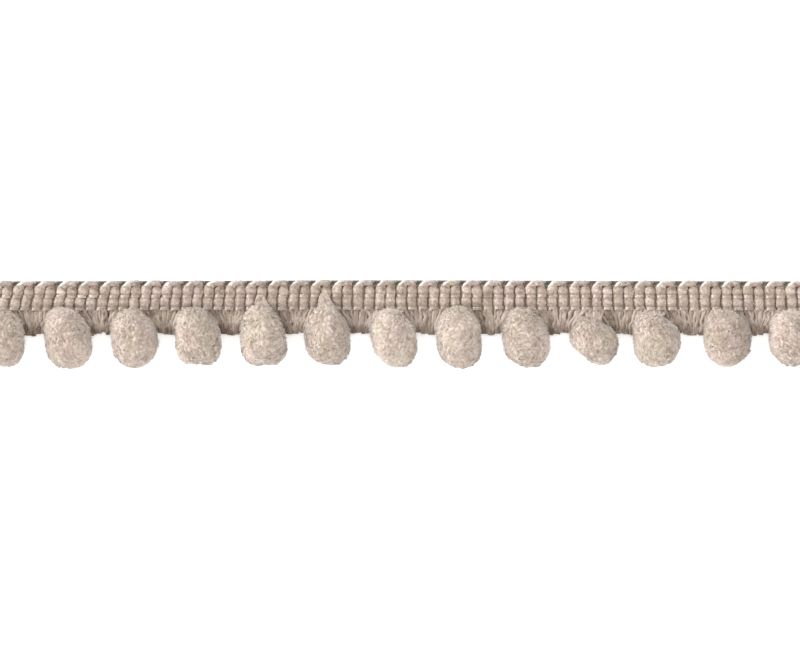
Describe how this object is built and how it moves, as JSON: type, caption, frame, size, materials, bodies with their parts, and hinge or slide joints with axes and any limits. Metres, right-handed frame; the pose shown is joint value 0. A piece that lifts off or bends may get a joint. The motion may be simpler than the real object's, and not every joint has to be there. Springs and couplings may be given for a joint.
{
  "type": "pompom fringe trim",
  "caption": "Straight length of yarn trim: a ribbed knitted heading with a short strand skirt and a row of trimmed pompoms below it, lying on its flat back.",
  "frame": {"origin": "middle of the trim's box, on the surface that its back lies on", "axes": "+X along the trim, +Y from the pompoms to the heading's top edge, +Z out of the face that shows"},
  "size_m": [0.1992, 0.0203, 0.0098],
  "materials": {
    "heading_yarn": "knitted yarn, soft, with no gloss",
    "skirt_yarn": "loose looped yarn, with no gloss",
    "pompom_yarn": "trimmed yarn ends, velvety"
  },
  "bodies": {
    "root": {"heading": "heading_yarn", "skirt": "skirt_yarn", "pompom_01": "pompom_yarn", "pompom_02": "pompom_yarn", "pompom_03": "pompom_yarn", "pompom_04": "pompom_yarn", "pompom_05": "pompom_yarn", "pompom_06": "pompom_yarn", "pompom_07": "pompom_yarn", "pompom_08": "pompom_yarn", "pompom_09": "pompom_yarn", "pompom_10": "pompom_yarn", "pompom_11": "pompom_yarn", "pompom_12": "pompom_yarn", "pompom_13": "pompom_yarn"}
  },
  "joints": []
}
